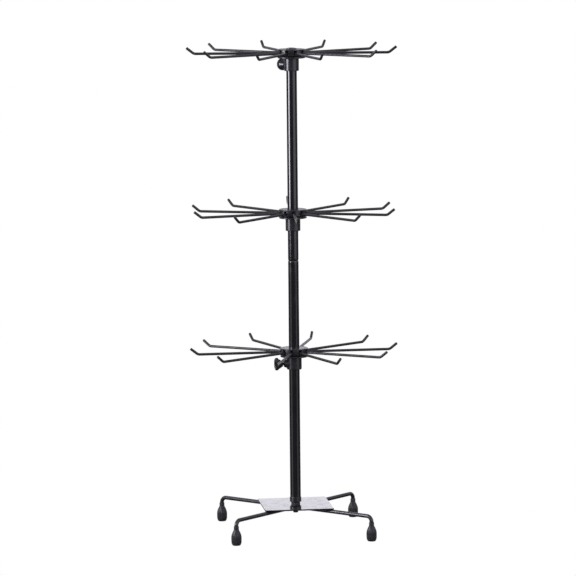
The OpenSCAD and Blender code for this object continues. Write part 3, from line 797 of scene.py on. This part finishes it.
for tier in TIERS:
    wheel_low, wheel_high = span(tier + "_wheel")
    collar_low, collar_high = span(tier + "_collar")
    z = wheel_high[2] - TOOTH_RISE
    travel = next(j for j in frame["joints"] if j["name"] == tier + "_clamp_travel")
    bearing = math.degrees(math.atan2(travel["axis"][1], travel["axis"][0]))
    phase = first_hook_bearing(tier + "_hooks")
    wheel_bottom = wheel_low[2] - z + RING_T
    flange_top = collar_high[2] - z
    sleeve_low = collar_low[2] - z
    clamp_z = sleeve_low + CLAMP_RISE

    def on_clamp(shell):
        """A surface turned about Z, laid along the clamp screw's axis."""
        return moved(moved(shell, 0, (0, 0, clamp_z), lay=True), bearing, (0, 0, z))

    collar = collar_shells(sleeve_low, flange_top - FLANGE_T, flange_top, clamp_z, bearing, z)
    make_piece(tier + "_collar_moulded", collar, HUB, tier + "_collar", tier + "_collar")
    insert = rounded([(SCREW_R + 0.05, INSERT_START, 0.1), (INSERT_R, INSERT_START, 0.2),
                      (INSERT_R, INSERT_END, 0.2), (SCREW_R + 0.05, INSERT_END, 0.2)])
    make_piece(tier + "_insert_brass", [on_clamp(turned(insert, 48, True))],
               BRASS, tier + "_collar", tier + "_insert")
    screw = thread(SCREW_R, SCREW_PITCH, SCREW_THREAD, POLE_R + 0.05, KNOB_END - 2, 32)
    make_piece(tier + "_clamp_screw_thread", [on_clamp(screw)],
               BLACKED, tier + "_clamp_screw", tier + "_clamp_screw", sharp=70)
    make_piece(tier + "_clamp_knob_moulded", [on_clamp(knob_shell())],
               KNOB, tier + "_clamp_knob", tier + "_clamp_knob", sharp=50)
    make_piece(tier + "_wheel_slotted", wheel_shells(wheel_bottom, wheel_low[2] - z, phase, z),
               HUB, tier + "_wheel", tier + "_wheel")
    make_piece(tier + "_cover_disc", cover_shells(phase, z),
               HUB, tier + "_wheel", tier + "_wheel_cover")
    hook = hook_shell(wheel_bottom + LEG_GAP)
    make_piece(tier + "_hook_wires", [moved(hook, phase + k * STEP, (0, 0, z)) for k in range(HOOKS)],
               WIRE, tier + "_wheel", tier + "_hooks", sharp=60)

# ---- Studio ----


def glowing(name, colour, strength):
    """Plain emitting surface for the studio."""
    material = bpy.data.materials.new(name)
    material.use_nodes = True
    nodes, links = material.node_tree.nodes, material.node_tree.links
    nodes.clear()
    out = nodes.new("ShaderNodeOutputMaterial")
    glow = nodes.new("ShaderNodeEmission")
    glow.inputs["Color"].default_value = (*colour, 1)
    glow.inputs["Strength"].default_value = strength
    links.new(glow.outputs["Emission"], out.inputs["Surface"])
    return material


FLOOR_HALF = 60.0
floor_mesh = bpy.data.meshes.new("studio_floor")
floor_corners = [(x * FLOOR_HALF, y * FLOOR_HALF, 0) for x, y in ((-1, -1), (1, -1), (1, 1), (-1, 1))]
floor_mesh.from_pydata(floor_corners, [], [(0, 1, 2, 3)])
floor_mesh.materials.append(glowing("white_floor", (1, 1, 1), 1.0))
floor = bpy.data.objects.new("studio_floor", floor_mesh)
bpy.context.scene.collection.objects.link(floor)
floor.visible_glossy = False
floor.visible_diffuse = False
floor.visible_shadow = False

COOL = (0.96, 0.945, 1.07)
NEUTRAL = (0.97, 0.965, 1.02)

# The room: dim below the horizon, brighter above it.
ROOM_FADE = {"From Min": -0.02, "From Max": 0.06, "To Min": 0.10, "To Max": 0.62}
world = bpy.data.worlds.new("studio")
world.use_nodes = True
nodes, links = world.node_tree.nodes, world.node_tree.links
room = nodes["Background"]
where = nodes.new("ShaderNodeTexCoord")
split = nodes.new("ShaderNodeSeparateXYZ")
fade = nodes.new("ShaderNodeMapRange")
for socket, number in ROOM_FADE.items():
    fade.inputs[socket].default_value = number
links.new(where.outputs["Generated"], split.inputs["Vector"])
links.new(split.outputs["Z"], fade.inputs["Value"])
links.new(fade.outputs["Result"], room.inputs["Strength"])
room.inputs["Color"].default_value = (*COOL, 1)
bpy.context.scene.world = world


def softbox(name, bearing, away, low, high, wide, glow, colour=COOL):
    """Upright rectangular light that faces the pole: its bearing from the pole in degrees, its distance, the
    heights of its lower and upper edge and its width in metres, and its glow (radiance)."""
    data = bpy.data.lights.new(name, "AREA")
    data.shape = "RECTANGLE"
    data.size, data.size_y = wide, high - low
    data.energy = glow * math.pi * wide * (high - low)
    data.color = colour
    a = math.radians(bearing)
    lamp = bpy.data.objects.new(name, data)
    lamp.location = (away * math.cos(a), away * math.sin(a), (low + high) / 2)
    lamp.rotation_euler = Vector((-math.cos(a), -math.sin(a), 0)).to_track_quat("-Z", "Y").to_euler()
    lamp.visible_camera = False
    bpy.context.scene.collection.objects.link(lamp)


softbox("key_strip", 197, 1.5, 0.31, 1.0, 0.60, 14.0)
softbox("right_bank", 313, 2.5, 0.10, 2.0, 2.4, 1.25)
softbox("low_left", 197, 1.5, -0.6, 0.22, 0.78, 0.7)
softbox("low_right", 325, 2.5, -0.9, 0.08, 1.2, 0.6)
softbox("backdrop", 83, 3.0, -0.1, 0.72, 3.6, 1.05, NEUTRAL)

# ---- Camera ----

# A long lens from in front and a little to the left, in metres, degrees and millimetres.
CAMERA_AT = (-0.7387, -6.0434, 1.1421)
YAW, PITCH, ROLL = 6.89, 7.22, -0.55
LENS, SENSOR, FAR = 255.1, 36, 100
camera_data = bpy.data.cameras.new("camera")
camera_data.lens = LENS
camera_data.sensor_width = SENSOR
camera_data.clip_end = FAR
camera = bpy.data.objects.new("camera", camera_data)
camera.location = CAMERA_AT
turns = [Matrix.Rotation(math.radians(angle), 3, axis)
         for angle, axis in ((-YAW, "Z"), (90 - PITCH, "X"), (ROLL, "Z"))]
camera.rotation_euler = (turns[0] @ turns[1] @ turns[2]).to_euler()
bpy.context.scene.collection.objects.link(camera)
bpy.context.scene.camera = camera

bpy.context.scene.view_settings.view_transform = "Standard"
bpy.context.scene.view_settings.look = "None"
